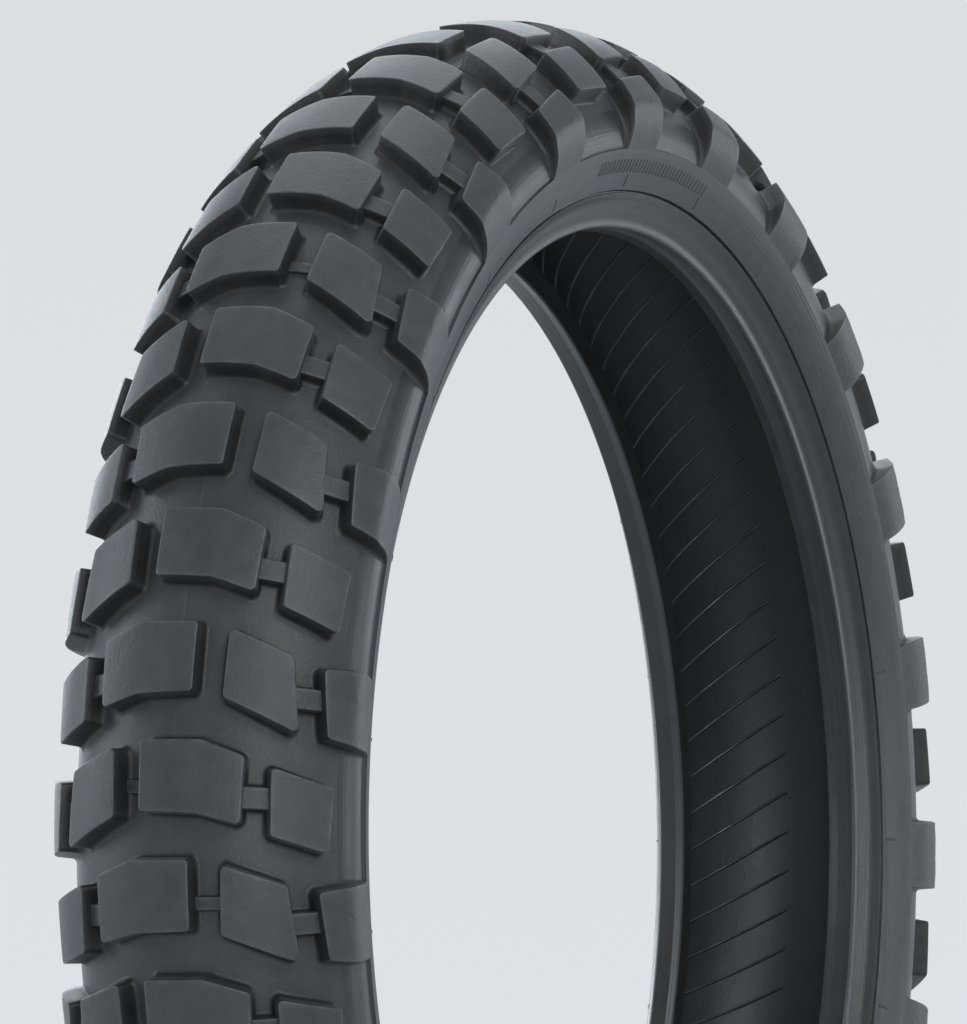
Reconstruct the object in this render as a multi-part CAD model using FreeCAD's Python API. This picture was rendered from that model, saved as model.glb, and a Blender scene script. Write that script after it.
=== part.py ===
import FreeCAD, Part
import math
import os

# A 120/70-19 motorcycle tire with an open block tread, bare, as it comes off its rim.
# Millimetres. The wheel axis is Y, +Z is up, and the origin is the wheel centre.
# +Y is the tire's left side when it rolls towards +X.
# Every ring is a half-section in (y, r), across the tire and out from the axle, turned about Y.
# Section angles are degrees from straight out towards +Y. Angles round the wheel start at +X.
V = FreeCAD.Vector
os.makedirs("parts", exist_ok=True)

# ---- driving dimensions -------------------------------------------------
OUTER_RADIUS = 325.0          # crown of the tread blocks
SEAT_RADIUS = 241.3           # bead seat of a 19-inch rim
CROWN_ARC = 72.3              # radius of the tread's own curve across the tire
GROOVE_DEPTH = 8.5
TREAD_EDGE_ANGLE = 58.0       # section angle where the crown arc ends
HEEL_Y = 44.45                # half of a 3.5-inch rim
TOE_Y = 33.0

FLOOR_ARC = CROWN_ARC - GROOVE_DEPTH
CROWN_CENTRE = (0.0, OUTER_RADIUS - CROWN_ARC)

# layers at the crown, from the groove floor inwards
TREAD_BASE_THICK = 3.0
CAP_PLY_THICK = 0.8
BELT_THICK = 1.0
PLY_THICK = 0.8
LINER_THICK = 1.0
CHAFER_THICK = 0.7
CARCASS_ARC = FLOOR_ARC - TREAD_BASE_THICK - CAP_PLY_THICK - 2 * BELT_THICK

# the carcass line: crown arc, shoulder arc, a slope, round the bead, and back up outside it
CARCASS_SHOULDER_ANGLE = 57.0
CARCASS_SHOULDER_ARC = 22.0
BEAD_CENTRE = (38.8, 248.4)
BEAD_WRAP_RADIUS = 3.1
BEAD_WRAP_THICK = 0.5
BEAD_WRAP_SLIT = 24.0         # degrees left open under the filler
WIRE_RADIUS = 0.84
WIRE_PITCH = 1.7
TURN_UP_LEAN = 36.0           # outward lean of the turned-up ply
TURN_UP_LENGTH = 9.5

# belt half-widths, as section angles
INNER_BELT_ANGLE = 47.0
OUTER_BELT_ANGLE = 43.0
CAP_PLY_ANGLE = 49.0
WEDGE_ANGLE = 55.0
TREAD_BASE_ANGLE = 57.0
TREAD_SPLIT_ANGLE = 22.0      # where the centre compound meets the shoulder compound

# outside of the shoulder, sidewall and bead
SHOULDER_ANGLE = 58.0
SHOULDER_ARC = 20.0
LEDGE_ANGLE = 100.0           # where the sidewall steps up from the shoulder's groove floor
LEDGE_RISE = 1.2
FLANK_BULGE = 0.3
SIDEWALL_LEAN = 24.0          # at the rim line
RIM_LINE_RADIUS = 255.5       # fine line moulded just above the rim flange
RIM_LINE_Y = 51.1
RIM_LINE_WIDTH = 1.2
RIM_LINE_DEPTH = 0.7
FLANGE_CURVE = 5.0
HEEL_ROUND = 1.3
HEEL_WALL = 1.0
SEAT_INNER_Y = 37.0
TOE_DROP = 1.0
TOE_CHAMFER = 0.6

# tread pattern: outlines in mm, (across from the middle, along the crown upwards)
PITCHES = 23
FIRST_ROW = 2.3               # angle of the first row's outlines round the wheel
WALL_DRAFT = 6.0
BLOCK_REACH = 6.0             # how far a block's rough prism passes the floor and the top
CENTRE_BLOCK = [(-10, 13.3), (13.8, 13.3), (31, 7.4), (30, -18.4), (13, -13.9), (-10, -13)]
MIDDLE_BLOCK = [(22.5, 11.4), (47, 2.8), (51, -27.5), (21.8, -15)]
OUTER_BLOCK = [(41, 3.7), (65.6, -3.7), (63.5, -29.8), (41, -22.6)]
SHOULDER_BLOCK = [(59.2, -0.7), (77, 1.2), (106, 1.5), (106, -31.4), (77, -30.8), (62.2, -28)]
CENTRE_TIE = [(26, -3.6), (45, -4.2), (45, -12.6), (26, -12.0)]
SHOULDER_TIE = [(46, -8.5), (65, -8.5), (65, -17.0), (46, -17.0)]
WEAR_BAR = [(5, -1.0), (27, -1.0), (27, -6.0), (5, -6.0)]
TIE_HEIGHT = 5.0
WEAR_BAR_HEIGHT = 1.6
WEAR_BAR_EVERY = 4
SHELL_SWEEP = 30.0            # arc of shell that one row's blocks are cut from
LUG_BULGE = (61.2, 281.0)     # a point on the outer face of the shoulder blocks


# ---- section geometry ---------------------------------------------------
def polar(centre, radius, angle):
    """The (y, r) point at a section angle about a centre."""
    a = math.radians(angle)
    return (centre[0] + radius * math.sin(a), centre[1] + radius * math.cos(a))


def vec(point):
    return V(0, point[0], point[1])


def line(a, b):
    return Part.makeLine(vec(a), vec(b))


def arc(centre, radius, start, stop):
    """An arc edge between two section angles."""
    middle = (start + stop) / 2
    points = [vec(polar(centre, radius, angle)) for angle in (start, middle, stop)]
    return Part.Arc(*points).toShape()


def ends(edges):
    """The free ends of a chain that is listed from the crown outwards."""
    first = edges[0].valueAt(edges[0].FirstParameter)
    last = edges[-1].valueAt(edges[-1].LastParameter)
    return (first.y, first.z), (last.y, last.z)


def mirrored(shape):
    return shape.mirror(V(0, 0, 0), V(0, 1, 0))


def face_of(edges):
    return Part.Face(Part.Wire(Part.__sortEdges__(edges)))


def revolve(face):
    return face.revolve(V(0, 0, 0), V(0, 1, 0), 360)


def band(outer, inner):
    """A half-section face between two chains that start at the crown or side by side."""
    outer_ends = ends(outer)
    inner_ends = ends(inner)
    caps = [line(outer_ends[0], inner_ends[0]), line(outer_ends[1], inner_ends[1])]
    return face_of(outer + inner + caps)


def full_band(outer, inner):
    """The same band carried across the middle to both sides."""
    cap = line(ends(outer)[1], ends(inner)[1])
    half = outer + inner + [cap]
    return face_of(half + [mirrored(edge) for edge in half])


CARCASS_SHOULDER = polar(CROWN_CENTRE, CARCASS_ARC - CARCASS_SHOULDER_ARC, CARCASS_SHOULDER_ANGLE)


def carcass_slope():
    """The lean of the straight run that touches the shoulder arc and the bead wrap."""
    dy = BEAD_CENTRE[0] - CARCASS_SHOULDER[0]
    dr = BEAD_CENTRE[1] - CARCASS_SHOULDER[1]
    reach = CARCASS_SHOULDER_ARC + BEAD_WRAP_RADIUS
    return math.degrees(math.asin(reach / math.hypot(dy, dr)) + math.atan2(-dy, -dr))


SLOPE = carcass_slope()
INBOARD = -90.0               # section angle of the bead's inboard side
TURN_UP_ANGLE = TURN_UP_LEAN - 270


def crown_and_side(offset):
    """The carcass line from the crown to the foot of the slope, moved outwards by offset."""
    crown = arc(CROWN_CENTRE, CARCASS_ARC + offset, 0, CARCASS_SHOULDER_ANGLE)
    shoulder_radius = CARCASS_SHOULDER_ARC + offset
    shoulder = arc(CARCASS_SHOULDER, shoulder_radius, CARCASS_SHOULDER_ANGLE, 90 + SLOPE)
    foot = polar(BEAD_CENTRE, BEAD_WRAP_RADIUS - offset, SLOPE - 90)
    slope = line(polar(CARCASS_SHOULDER, shoulder_radius, 90 + SLOPE), foot)
    return [crown, shoulder, slope]


def round_bead(offset, start, length):
    """The carcass line under the bead from a section angle, and up its outer side."""
    radius = BEAD_WRAP_RADIUS - offset
    inboard = arc(BEAD_CENTRE, radius, start, -180)
    outboard = arc(BEAD_CENTRE, radius, -180, TURN_UP_ANGLE)
    corner = polar(BEAD_CENTRE, radius, TURN_UP_ANGLE)
    lean = math.radians(TURN_UP_LEAN)
    top = (corner[0] + length * math.sin(lean), corner[1] + length * math.cos(lean))
    return [inboard, outboard, line(corner, top)]


def carcass_line(offset):
    return crown_and_side(offset) + round_bead(offset, SLOPE - 90, TURN_UP_LENGTH)


def liner_line(offset):
    turn = arc(BEAD_CENTRE, BEAD_WRAP_RADIUS - offset, SLOPE - 90, INBOARD)
    return crown_and_side(offset) + [turn]


def crown_arc(offset, start, stop):
    return [arc(CROWN_CENTRE, CARCASS_ARC + offset, start, stop)]


SHOULDER_CENTRE = polar(CROWN_CENTRE, FLOOR_ARC - SHOULDER_ARC, SHOULDER_ANGLE)
LINER_OFFSET = -2 * PLY_THICK - LINER_THICK


def sidewall_point(radius):
    """The (y, r) point of the sidewall near the rim line at a wheel radius."""
    rise = radius - RIM_LINE_RADIUS
    return (RIM_LINE_Y + rise * math.tan(math.radians(SIDEWALL_LEAN)), radius)


def bead_outside():
    """From the rim line down over the heel, along the seat to the toe."""
    upper = sidewall_point(RIM_LINE_RADIUS + RIM_LINE_WIDTH / 2)
    lower = sidewall_point(RIM_LINE_RADIUS - RIM_LINE_WIDTH / 2)
    middle = sidewall_point(RIM_LINE_RADIUS)
    root = (middle[0] - RIM_LINE_DEPTH, middle[1])
    wall_top = (HEEL_Y, SEAT_RADIUS + HEEL_ROUND + HEEL_WALL)
    flange_centre = (HEEL_Y + FLANGE_CURVE, wall_top[1])
    dy = lower[0] - flange_centre[0]
    dr = lower[1] - flange_centre[1]
    tangent = math.degrees(math.atan2(dy, dr) - math.acos(FLANGE_CURVE / math.hypot(dy, dr)))
    flange_end = polar(flange_centre, FLANGE_CURVE, tangent)
    heel_centre = (HEEL_Y - HEEL_ROUND, SEAT_RADIUS + HEEL_ROUND)
    toe_bottom = (TOE_Y + TOE_CHAMFER, SEAT_RADIUS - TOE_DROP)
    toe_top = (TOE_Y, toe_bottom[1] + TOE_CHAMFER)
    edges = [line(upper, root), line(root, lower), line(lower, flange_end)]
    edges.append(arc(flange_centre, FLANGE_CURVE, tangent, -90))
    edges.append(line(wall_top, (HEEL_Y, SEAT_RADIUS + HEEL_ROUND)))
    edges.append(arc(heel_centre, HEEL_ROUND, 90, 180))
    edges.append(line((heel_centre[0], SEAT_RADIUS), (SEAT_INNER_Y, SEAT_RADIUS)))
    edges.append(line((SEAT_INNER_Y, SEAT_RADIUS), toe_bottom))
    edges.append(line(toe_bottom, toe_top))
    inner_face = polar(BEAD_CENTRE, BEAD_WRAP_RADIUS - LINER_OFFSET, INBOARD)
    edges.append(line(toe_top, inner_face))
    return edges


def body_face():
    """The whole left half-section without its blocks, from groove floor to liner."""
    crown_floor = (0, CROWN_CENTRE[1] + FLOOR_ARC)
    crown_inside = (0, CROWN_CENTRE[1] + CARCASS_ARC + LINER_OFFSET)
    ledge_foot = polar(SHOULDER_CENTRE, SHOULDER_ARC, LEDGE_ANGLE)
    ledge_top = polar(SHOULDER_CENTRE, SHOULDER_ARC + LEDGE_RISE, LEDGE_ANGLE)
    flank_end = sidewall_point(RIM_LINE_RADIUS + RIM_LINE_WIDTH / 2)
    flank_middle = ((ledge_top[0] + flank_end[0]) / 2 + FLANK_BULGE, (ledge_top[1] + flank_end[1]) / 2)
    edges = [arc(CROWN_CENTRE, FLOOR_ARC, 0, SHOULDER_ANGLE)]
    edges.append(arc(SHOULDER_CENTRE, SHOULDER_ARC, SHOULDER_ANGLE, LEDGE_ANGLE))
    edges.append(line(ledge_foot, ledge_top))
    edges.append(Part.Arc(vec(ledge_top), vec(flank_middle), vec(flank_end)).toShape())
    edges += bead_outside()
    edges += liner_line(LINER_OFFSET)
    edges.append(line(crown_inside, crown_floor))
    return face_of(edges)


def patch(points):
    """A flat face through (y, r) corners, used to part one rubber from the next."""
    return Part.Face(Part.makePolygon([vec(p) for p in points + points[:1]]))


# ---- rings --------------------------------------------------------------
def carcass_plies():
    inner = full_band(carcass_line(-PLY_THICK), carcass_line(-2 * PLY_THICK))
    outer = full_band(carcass_line(0), carcass_line(-PLY_THICK))
    return {"carcass_ply_inner": inner, "carcass_ply_outer": outer}


def inner_liner():
    return full_band(liner_line(-2 * PLY_THICK), liner_line(LINER_OFFSET))


def belts():
    first = crown_arc(0, 0, INNER_BELT_ANGLE)
    first_top = crown_arc(BELT_THICK, 0, INNER_BELT_ANGLE)
    second = crown_arc(BELT_THICK, 0, OUTER_BELT_ANGLE)
    second_top = crown_arc(2 * BELT_THICK, 0, OUTER_BELT_ANGLE)
    cap = crown_arc(2 * BELT_THICK, 0, CAP_PLY_ANGLE)
    cap_top = crown_arc(2 * BELT_THICK + CAP_PLY_THICK, 0, CAP_PLY_ANGLE)
    faces = {"belt_inner": full_band(first_top, first)}
    faces["belt_outer"] = full_band(second_top, second)
    faces["cap_ply"] = full_band(cap_top, cap)
    return faces


def tread_base(start, stop):
    top = FLOOR_ARC - CARCASS_ARC
    return crown_arc(top, start, stop), crown_arc(top - TREAD_BASE_THICK, start, stop)


def shoulder_wedge():
    """Cushion rubber that fills the step at the belts' edges."""
    top = crown_arc(FLOOR_ARC - CARCASS_ARC - TREAD_BASE_THICK, OUTER_BELT_ANGLE, WEDGE_ANGLE)
    bottom = crown_arc(0, OUTER_BELT_ANGLE, WEDGE_ANGLE)
    wedge = band(top, bottom)
    return wedge.cut([face for face in belts().values()])


def chafer():
    """Woven strip between the plies and the rim."""
    offset = -2 * PLY_THICK
    near = round_bead(offset, INBOARD, TURN_UP_LENGTH)
    far = round_bead(offset - CHAFER_THICK, INBOARD, TURN_UP_LENGTH)
    return band(near, far)


def bead_wrap():
    start = BEAD_WRAP_SLIT / 2
    stop = 360 - BEAD_WRAP_SLIT / 2
    outer = [arc(BEAD_CENTRE, BEAD_WRAP_RADIUS, start, stop)]
    inner = [arc(BEAD_CENTRE, BEAD_WRAP_RADIUS - BEAD_WRAP_THICK, start, stop)]
    return band(outer, inner)


def bead_filler():
    """Hard rubber wedge that stands on the bead between the ply and its turn-up."""
    wrap = arc(BEAD_CENTRE, BEAD_WRAP_RADIUS, SLOPE - 90, TURN_UP_ANGLE + 360)
    turn_up = round_bead(0, SLOPE - 90, TURN_UP_LENGTH)[-1]
    tip = ends([turn_up])[1]
    away = (tip[0] - CARCASS_SHOULDER[0], tip[1] - CARCASS_SHOULDER[1])
    tip_angle = math.degrees(math.atan2(away[0], away[1]))
    side = arc(CARCASS_SHOULDER, CARCASS_SHOULDER_ARC, tip_angle, 90 + SLOPE)
    slope = crown_and_side(0)[2]
    blunt = line(tip, polar(CARCASS_SHOULDER, CARCASS_SHOULDER_ARC, tip_angle))
    return face_of([wrap, turn_up, blunt, side, slope])


def bead_wires():
    """A cable bead: a core wire with six strands round it."""
    places = [BEAD_CENTRE] + [polar(BEAD_CENTRE, WIRE_PITCH, 60 * side) for side in range(6)]
    wires = []
    for y, radius in places:
        wires.append(Part.makeTorus(radius, WIRE_RADIUS, V(0, y, 0), V(0, 1, 0)))
    return Part.makeCompound(wires)


def outer_rubbers(inner_faces):
    """What is left of the section outside the cords: sidewall, rim strip and toe strip."""
    rubber = body_face().cut(inner_faces)
    rim_line = sidewall_point(RIM_LINE_RADIUS + RIM_LINE_WIDTH / 2)
    turn_up_top = ends(round_bead(0, SLOPE - 90, TURN_UP_LENGTH))[1]
    low = SEAT_RADIUS - 10
    wide = HEEL_Y + 30
    below = [turn_up_top, (rim_line[0], rim_line[1]), (wide, rim_line[1]), (wide, low), (0, low)]
    below_rim_line = patch(below + [(0, turn_up_top[1])])
    toe_line = SEAT_INNER_Y
    toe_side = patch([(0, low), (toe_line, low), (toe_line, BEAD_CENTRE[1]), (0, BEAD_CENTRE[1])])
    lower = rubber.common(below_rim_line)
    faces = {"sidewall": rubber.cut(below_rim_line)}
    faces["toe_strip"] = lower.common(toe_side)
    faces["rim_strip"] = lower.cut(toe_side)
    return faces


def side_rings():
    """Section faces of the left side's own rings."""
    faces = {"chafer": chafer(), "bead_wrap": bead_wrap(), "bead_filler": bead_filler()}
    faces["shoulder_wedge"] = shoulder_wedge()
    faces["tread_base"] = band(*tread_base(TREAD_SPLIT_ANGLE, TREAD_BASE_ANGLE))
    return faces


# ---- tread blocks -------------------------------------------------------
def on_tread(across, along, radius):
    """A point over a spot of the tread pattern, at a distance from the crown centre."""
    section = polar(CROWN_CENTRE, radius, math.degrees(across / CROWN_ARC))
    turn = along / OUTER_RADIUS
    return V(section[1] * math.cos(turn), section[0], section[1] * math.sin(turn))


def grown(outline, distance):
    """The outline with every side moved outwards by a distance."""
    lines = []
    for i, a in enumerate(outline):
        b = outline[(i + 1) % len(outline)]
        dx = b[0] - a[0]
        dy = b[1] - a[1]
        length = math.hypot(dx, dy)
        normal = (-dy / length, dx / length)
        lines.append((normal, a[0] * normal[0] + a[1] * normal[1] + distance))
    corners = []
    for i, (n, d) in enumerate(lines):
        m, e = lines[i - 1]
        det = m[0] * n[1] - m[1] * n[0]
        corners.append(((e * n[1] - d * m[1]) / det, (m[0] * d - n[0] * e) / det))
    return corners


def prism(outline, low, high):
    """A rough solid over an outline, its walls drafted along the tread's own normals."""
    slope = math.tan(math.radians(WALL_DRAFT))
    top = grown(outline, 0)
    foot = grown(outline, GROOVE_DEPTH * slope)
    middle = (sum(p[0] for p in outline) / len(outline), sum(p[1] for p in outline) / len(outline))
    up = on_tread(middle[0], middle[1], CROWN_ARC) - on_tread(middle[0], middle[1], 0)
    up.normalize()
    wires = []
    for level in (low, high):
        base = on_tread(middle[0], middle[1], level)
        corners = []
        for t, f in zip(top, foot):
            a = on_tread(f[0], f[1], FLOOR_ARC)
            b = on_tread(t[0], t[1], CROWN_ARC)
            step = (base - a).dot(up) / (b - a).dot(up)
            corners.append(a + (b - a) * step)
        wires.append(Part.makePolygon(corners + corners[:1]))
    return Part.makeLoft(wires, True, True)


def tread_shell(height):
    """The ring between the groove floor and a level above it, down over the left shoulder."""
    top = FLOOR_ARC + height
    edge = polar(CROWN_CENTRE, top, TREAD_EDGE_ANGLE)
    ledge_foot = polar(SHOULDER_CENTRE, SHOULDER_ARC, LEDGE_ANGLE)
    ledge_top = polar(SHOULDER_CENTRE, SHOULDER_ARC + LEDGE_RISE, LEDGE_ANGLE)
    start = -TREAD_EDGE_ANGLE
    edges = [arc(CROWN_CENTRE, top, start, TREAD_EDGE_ANGLE)]
    edges.append(Part.Arc(vec(edge), vec(LUG_BULGE), vec(ledge_top)).toShape())
    edges.append(line(ledge_top, ledge_foot))
    edges.append(arc(SHOULDER_CENTRE, SHOULDER_ARC, SHOULDER_ANGLE, LEDGE_ANGLE))
    edges.append(arc(CROWN_CENTRE, FLOOR_ARC, start, SHOULDER_ANGLE))
    edges.append(line(polar(CROWN_CENTRE, top, start), polar(CROWN_CENTRE, FLOOR_ARC, start)))
    return face_of(edges).revolve(V(0, 0, 0), V(0, 1, 0), SHELL_SWEEP)


def low_shell(height):
    """A thinner ring on the groove floor, for bars that tie blocks together."""
    outer = crown_arc(FLOOR_ARC + height - CARCASS_ARC, 0, SHOULDER_ANGLE)
    inner = crown_arc(FLOOR_ARC - CARCASS_ARC, 0, SHOULDER_ANGLE)
    return band(outer, inner).revolve(V(0, 0, 0), V(0, 1, 0), SHELL_SWEEP)


TO_FIRST_ROW = SHELL_SWEEP / 2 - 90  # from the section plane to the middle of the +X row


def row_angle(step):
    return FIRST_ROW + 360 * step / PITCHES


def turned(shape, angle):
    """A copy that is moved from the +X row to an angle round the wheel, towards +Z."""
    copy = shape.copy()
    copy.rotate(V(0, 0, 0), V(0, 1, 0), -angle)
    return copy


def row_blocks():
    """The blocks and ties of one row on the left side, at the +X row."""
    low = FLOOR_ARC - BLOCK_REACH
    high = CROWN_ARC + BLOCK_REACH
    shell = turned(tread_shell(GROOVE_DEPTH), TO_FIRST_ROW)
    ties = turned(low_shell(TIE_HEIGHT), TO_FIRST_ROW)
    bars = turned(low_shell(WEAR_BAR_HEIGHT), TO_FIRST_ROW)
    blocks = {"centre_blocks": prism(CENTRE_BLOCK, low, high).common(shell)}
    blocks["middle_blocks"] = prism(MIDDLE_BLOCK, low, high).common(shell)
    blocks["outer_blocks"] = prism(OUTER_BLOCK, low, high).common(shell)
    blocks["shoulder_blocks"] = prism(SHOULDER_BLOCK, low, high).common(shell)
    centre_tie = prism(CENTRE_TIE, low, high).common(ties)
    shoulder_tie = prism(SHOULDER_TIE, low, high).common(ties)
    bar = prism(WEAR_BAR, low, high).common(bars)
    blocks["centre_ties"] = centre_tie.cut([blocks["centre_blocks"], blocks["outer_blocks"]])
    blocks["shoulder_ties"] = shoulder_tie.cut([blocks["middle_blocks"], blocks["shoulder_blocks"]])
    blocks["wear_bars"] = bar.cut([mirrored(blocks["centre_blocks"]), blocks["middle_blocks"]])
    return blocks


def around(shape, steps):
    solids = []
    for step in steps:
        solids += turned(shape, row_angle(step)).Solids
    return solids


def write_tread():
    """Even rows carry the left centre blocks; the rows between mirror them to the right."""
    blocks = row_blocks()
    bar = blocks.pop("wear_bars")
    whole = range(PITCHES)
    halves = [step + 0.5 for step in whole]
    paired = {"centre_blocks": 0, "outer_blocks": 0, "centre_ties": 0}
    paired.update({"middle_blocks": 1, "shoulder_blocks": 1, "shoulder_ties": 1})
    for name, late in paired.items():
        left_steps = halves if late else whole
        right_steps = whole if late else halves
        write(name + "_left", Part.makeCompound(around(blocks[name], left_steps)))
        write(name + "_right", Part.makeCompound(around(mirrored(blocks[name]), right_steps)))
    left_bars = around(bar, halves[PITCHES - 1::-WEAR_BAR_EVERY])
    right_bars = around(mirrored(bar), whole[::WEAR_BAR_EVERY])
    write("wear_bars", Part.makeCompound(left_bars + right_bars))


# ---- output -------------------------------------------------------------
def write(name, shape):
    print(name, len(shape.Solids), "solids", round(shape.Volume / 1000, 1), "cm3", shape.isValid())
    shape.exportStep("parts/" + name + ".step")


def write_rings():
    whole = carcass_plies()
    whole.update(belts())
    whole["inner_liner"] = inner_liner()
    whole["tread_base_centre"] = full_band(*tread_base(0, TREAD_SPLIT_ANGLE))
    for name, face in whole.items():
        write(name, revolve(face))
    sides = side_rings()
    core = face_of([Part.Circle(vec(BEAD_CENTRE), V(1, 0, 0), BEAD_WRAP_RADIUS).toShape()])
    sides.update(outer_rubbers(list(whole.values()) + list(sides.values()) + [core]))
    for name, face in sides.items():
        left = revolve(face)
        write(name + "_left", left)
        write(name + "_right", mirrored(left))
    write("bead_wires_left", bead_wires())
    write("bead_wires_right", mirrored(bead_wires()))


write_rings()
write_tread()
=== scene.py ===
import math

import bpy
import numpy as np
from mathutils import Matrix, Vector


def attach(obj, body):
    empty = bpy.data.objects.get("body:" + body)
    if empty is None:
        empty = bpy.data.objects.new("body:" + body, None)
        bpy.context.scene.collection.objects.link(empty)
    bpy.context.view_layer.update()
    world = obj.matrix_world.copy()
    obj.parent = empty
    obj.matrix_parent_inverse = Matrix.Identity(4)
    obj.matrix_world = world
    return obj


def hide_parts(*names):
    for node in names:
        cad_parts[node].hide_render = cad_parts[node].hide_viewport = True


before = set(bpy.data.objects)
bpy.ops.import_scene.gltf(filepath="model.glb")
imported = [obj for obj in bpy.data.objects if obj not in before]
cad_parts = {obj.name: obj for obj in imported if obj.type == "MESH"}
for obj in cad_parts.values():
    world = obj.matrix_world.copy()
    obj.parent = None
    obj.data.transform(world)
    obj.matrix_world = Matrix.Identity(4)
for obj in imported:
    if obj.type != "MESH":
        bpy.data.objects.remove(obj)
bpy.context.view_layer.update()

# The moulded rubber of a 120/70-19 block-tread tire, in millimetres until a mesh is made.
# A section point is (y, r): across the tire, and out from the axle, which is the Y axis.
# Section angles are degrees from straight out towards +Y; wheel angles start at +X, towards +Z.

# ---- sizes, as in the CAD part -------------------------------------------
OUTER_RADIUS = 325.0
SEAT_RADIUS = 241.3
CROWN_ARC = 72.3
GROOVE_DEPTH = 8.5
FLOOR_ARC = CROWN_ARC - GROOVE_DEPTH
CROWN_CENTRE = (0.0, OUTER_RADIUS - CROWN_ARC)
TREAD_EDGE = 58.0
TREAD_BASE_THICK = 3.0
CARCASS_ARC = 58.0
CARCASS_SHOULDER_ANGLE = 57.0
CARCASS_SHOULDER_ARC = 22.0
BEAD_CENTRE = (38.8, 248.4)
WRAP_RADIUS = 3.1
CHAFER_OFFSET = -2.3
LINER_OUTER = -1.6
LINER_INNER = -2.6
TURN_UP_LEAN = 36.0
TURN_UP_LENGTH = 9.5
WEDGE_ANGLE = 55.0
TREAD_BASE_ANGLE = 57.0
TREAD_SPLIT = 22.0
SHOULDER_ARC = 20.0
LEDGE_ANGLE = 100.0
LEDGE_RISE = 1.2
SIDEWALL_LEAN = 24.0
RIM_LINE = (51.1, 255.5)
RIM_LINE_WIDTH = 1.2
HEEL_Y = 44.45
FLANGE_CURVE = 5.0
HEEL_ROUND = 1.3
HEEL_WALL = 1.0
SEAT_INNER_Y = 37.0
TOE_BOTTOM = (33.6, 240.3)
TOE_TOP = (33.0, 240.9)
PITCHES = 23
FIRST_ROW = 2.3
WALL_DRAFT = 6.0
LUG_BULGE = (61.2, 281.0)
TIE_HEIGHT = 5.0
WEAR_BAR_HEIGHT = 1.6
WEAR_BAR_EVERY = 4            # rows from one wear bar to the next

# ---- sizes that are larger here than in the CAD part, by less than 1 mm ---
FLANK_BULGE = 0.75            # swell of the flank between the ledge and the rim line
RIM_BAND_BULGE = 0.6          # swell of the band under the rim line
RIM_LINE_DEPTH = 1.1

# ---- sizes of the moulded detail -----------------------------------------
SEGMENTS = 460                # round the wheel, 20 to a pitch
LINER_SEGMENTS = 345          # round the liner, 15 to a pitch
SHARP_ANGLE = 34.0            # edges that bend by more than this stay crisp
FLASH_LINE = [(0.0, 0.22), (0.12, 0.2), (0.3, 0.03), (0.6, 0.0)]  # across, height
RIM_LINE_FLOOR = 0.35         # half width of the rim line's groove near its root
RIM_LINE_LIP = 0.9            # how deep the groove's slanting sides go
RIBS = 115                    # vent ribs on each side of the liner, five to a pitch
RIB_START = 12.8              # distance from the middle along the liner
RIB_END = 83.0
RIB_LEAN = 0.108              # degrees round the wheel for each mm across
RIB_STATIONS = 26             # sections along one rib
RIB_FADE = 8.0                # length over which a rib's far end runs out
RIB_CROSS = [(-0.75, -0.1), (-0.45, 0.5), (0.0, 0.65), (0.4, 0.4), (0.9, -0.1)]
# A value for each cross point: painted highlight on the crest, painted shade at the foot.
RIB_PAINTED_LIGHT = [0.0, 1.0, 1.0, 0.0, -1.0]
LINER_RADIUS = 300.0          # where a rib's width is measured
FLANK_RADIUS = 262.0          # where lengths along the flank are measured
TURN_RADIUS = 0.3             # metres: where the round-the-wheel texture is true to size


# ---- section geometry -----------------------------------------------------
def polar(centre, radius, angle):
    a = math.radians(angle)
    return (centre[0] + radius * math.sin(a), centre[1] + radius * math.cos(a))


def arc(centre, radius, start, stop, step=3.0):
    count = max(2, int(abs(stop - start) / step) + 1)
    return [polar(centre, radius, a) for a in np.linspace(start, stop, count)]


def circle_through(a, b, c):
    """The centre and radius of the circle through three section points."""
    ax, ay = a
    bx, by = b
    cx, cy = c
    d = 2 * (ax * (by - cy) + bx * (cy - ay) + cx * (ay - by))
    aa, bb, cc = ax * ax + ay * ay, bx * bx + by * by, cx * cx + cy * cy
    x = (aa * (by - cy) + bb * (cy - ay) + cc * (ay - by)) / d
    y = (aa * (cx - bx) + bb * (ax - cx) + cc * (bx - ax)) / d
    return (x, y), math.hypot(ax - x, ay - y)


def section_angle(centre, point):
    return math.degrees(math.atan2(point[0] - centre[0], point[1] - centre[1]))


def arc_through(a, b, c, count=10):
    centre, radius = circle_through(a, b, c)
    start = section_angle(centre, a)
    stop = section_angle(centre, c)
    return [polar(centre, radius, angle) for angle in np.linspace(start, stop, count)]


CARCASS_SHOULDER = polar(CROWN_CENTRE, CARCASS_ARC - CARCASS_SHOULDER_ARC, CARCASS_SHOULDER_ANGLE)
SHOULDER_CENTRE = polar(CROWN_CENTRE, FLOOR_ARC - SHOULDER_ARC, TREAD_EDGE)
SLOPE_REACH = (BEAD_CENTRE[0] - CARCASS_SHOULDER[0], BEAD_CENTRE[1] - CARCASS_SHOULDER[1])
SLOPE = math.degrees(
    math.asin((CARCASS_SHOULDER_ARC + WRAP_RADIUS) / math.hypot(*SLOPE_REACH))
    + math.atan2(-SLOPE_REACH[0], -SLOPE_REACH[1]))
TURN_UP_ANGLE = TURN_UP_LEAN - 270
LEDGE_TOP = polar(SHOULDER_CENTRE, SHOULDER_ARC + LEDGE_RISE, LEDGE_ANGLE)


def sidewall_point(radius):
    rise = radius - RIM_LINE[1]
    return (RIM_LINE[0] + rise * math.tan(math.radians(SIDEWALL_LEAN)), radius)


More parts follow.
